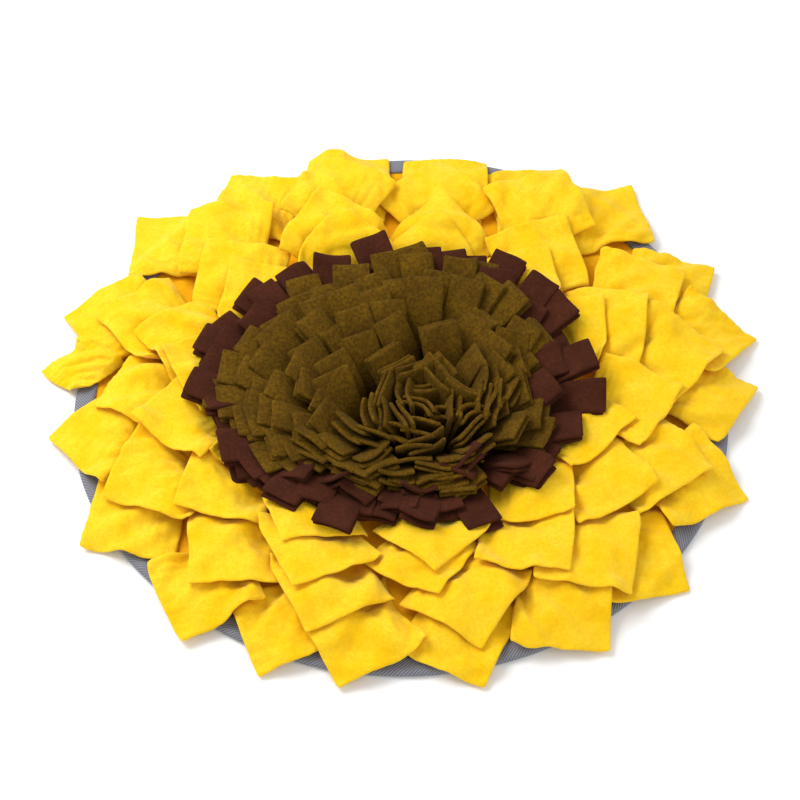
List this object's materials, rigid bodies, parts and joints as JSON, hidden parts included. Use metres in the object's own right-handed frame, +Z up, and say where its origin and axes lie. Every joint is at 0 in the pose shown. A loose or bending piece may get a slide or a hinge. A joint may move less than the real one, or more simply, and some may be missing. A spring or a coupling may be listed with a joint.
{
  "type": "snuffle mat",
  "caption": "Round cloth snuffle mat shaped as a sunflower, with overlapping square fleece petals round a low dome of fleece strips, for hiding dry pet food.",
  "frame": {"origin": "the middle of the round base's underside, on the surface the mat lies on", "axes": "+Z is up out of the mat; -Y is towards the side seen nearest in the picture, where the strips' whorl sits forward of the middle"},
  "size_m": [0.5509, 0.5231, 0.063],
  "materials": {
    "yellow_fleece": "brushed polyester fleece, matt and short-napped",
    "grey_webbing": "woven polyester webbing with a fine diagonal rib",
    "brown_fleece": "brushed polyester fleece, matt",
    "olive_fleece": "brushed polyester fleece, matt"
  },
  "bodies": {
    "root": {"base_cloth": "yellow_fleece", "edge_binding": "grey_webbing", "petal_outer_01": "yellow_fleece", "petal_outer_02": "yellow_fleece", "petal_outer_03": "yellow_fleece", "petal_outer_04": "yellow_fleece", "petal_outer_05": "yellow_fleece", "petal_outer_06": "yellow_fleece", "petal_outer_07": "yellow_fleece", "petal_outer_08": "yellow_fleece", "petal_outer_09": "yellow_fleece", "petal_outer_10": "yellow_fleece", "petal_outer_11": "yellow_fleece", "petal_outer_12": "yellow_fleece", "petal_outer_13": "yellow_fleece", "petal_outer_14": "yellow_fleece", "petal_outer_15": "yellow_fleece", "petal_outer_16": "yellow_fleece", "petal_outer_17": "yellow_fleece", "petal_outer_18": "yellow_fleece", "petal_outer_19": "yellow_fleece", "petal_second_01": "yellow_fleece", "petal_second_02": "yellow_fleece", "petal_second_03": "yellow_fleece", "petal_second_04": "yellow_fleece", "petal_second_05": "yellow_fleece", "petal_second_06": "yellow_fleece", "petal_second_07": "yellow_fleece", "petal_second_08": "yellow_fleece", "petal_second_09": "yellow_fleece", "petal_second_10": "yellow_fleece", "petal_second_11": "yellow_fleece", "petal_second_12": "yellow_fleece", "petal_second_13": "yellow_fleece", "petal_second_14": "yellow_fleece", "petal_third_01": "yellow_fleece", "petal_third_02": "yellow_fleece", "petal_third_03": "yellow_fleece", "petal_third_04": "yellow_fleece", "petal_third_05": "yellow_fleece", "petal_third_06": "yellow_fleece", "petal_third_07": "yellow_fleece", "petal_third_08": "yellow_fleece", "petal_third_09": "yellow_fleece", "petal_third_10": "yellow_fleece", "petal_third_11": "yellow_fleece", "petal_third_12": "yellow_fleece", "petal_third_13": "yellow_fleece", "petal_inner_01": "yellow_fleece", "petal_inner_02": "yellow_fleece", "petal_inner_03": "yellow_fleece", "petal_inner_04": "yellow_fleece", "petal_inner_05": "yellow_fleece", "petal_inner_06": "yellow_fleece", "petal_inner_07": "yellow_fleece", "petal_inner_08": "yellow_fleece", "petal_inner_09": "yellow_fleece", "petal_inner_10": "yellow_fleece", "brown_strips": "brown_fleece", "olive_strips": "olive_fleece"}
  },
  "joints": []
}
